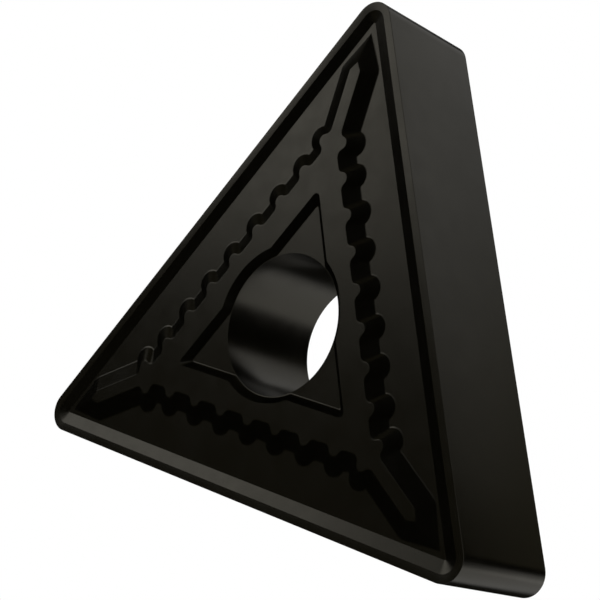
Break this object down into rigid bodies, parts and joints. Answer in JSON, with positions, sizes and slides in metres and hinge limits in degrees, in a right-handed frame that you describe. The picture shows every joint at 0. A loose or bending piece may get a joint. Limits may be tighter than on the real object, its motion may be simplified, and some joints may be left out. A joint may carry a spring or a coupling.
{
  "type": "carbide turning insert",
  "caption": "Double-sided triangular carbide turning insert with a scalloped chip former, raised seating island and a central clamping bore.",
  "frame": {"origin": "on the bore's axis, at half the thickness", "axes": "+Z along the bore out of the upper face, +Y from the bore towards one corner, +X along the side opposite that corner"},
  "size_m": [0.0208, 0.0182, 0.0048],
  "materials": {
    "coated_carbide": "dark satin vapour-deposited coating over sintered tungsten carbide"
  },
  "bodies": {
    "root": {"insert_body": "coated_carbide"}
  },
  "joints": []
}
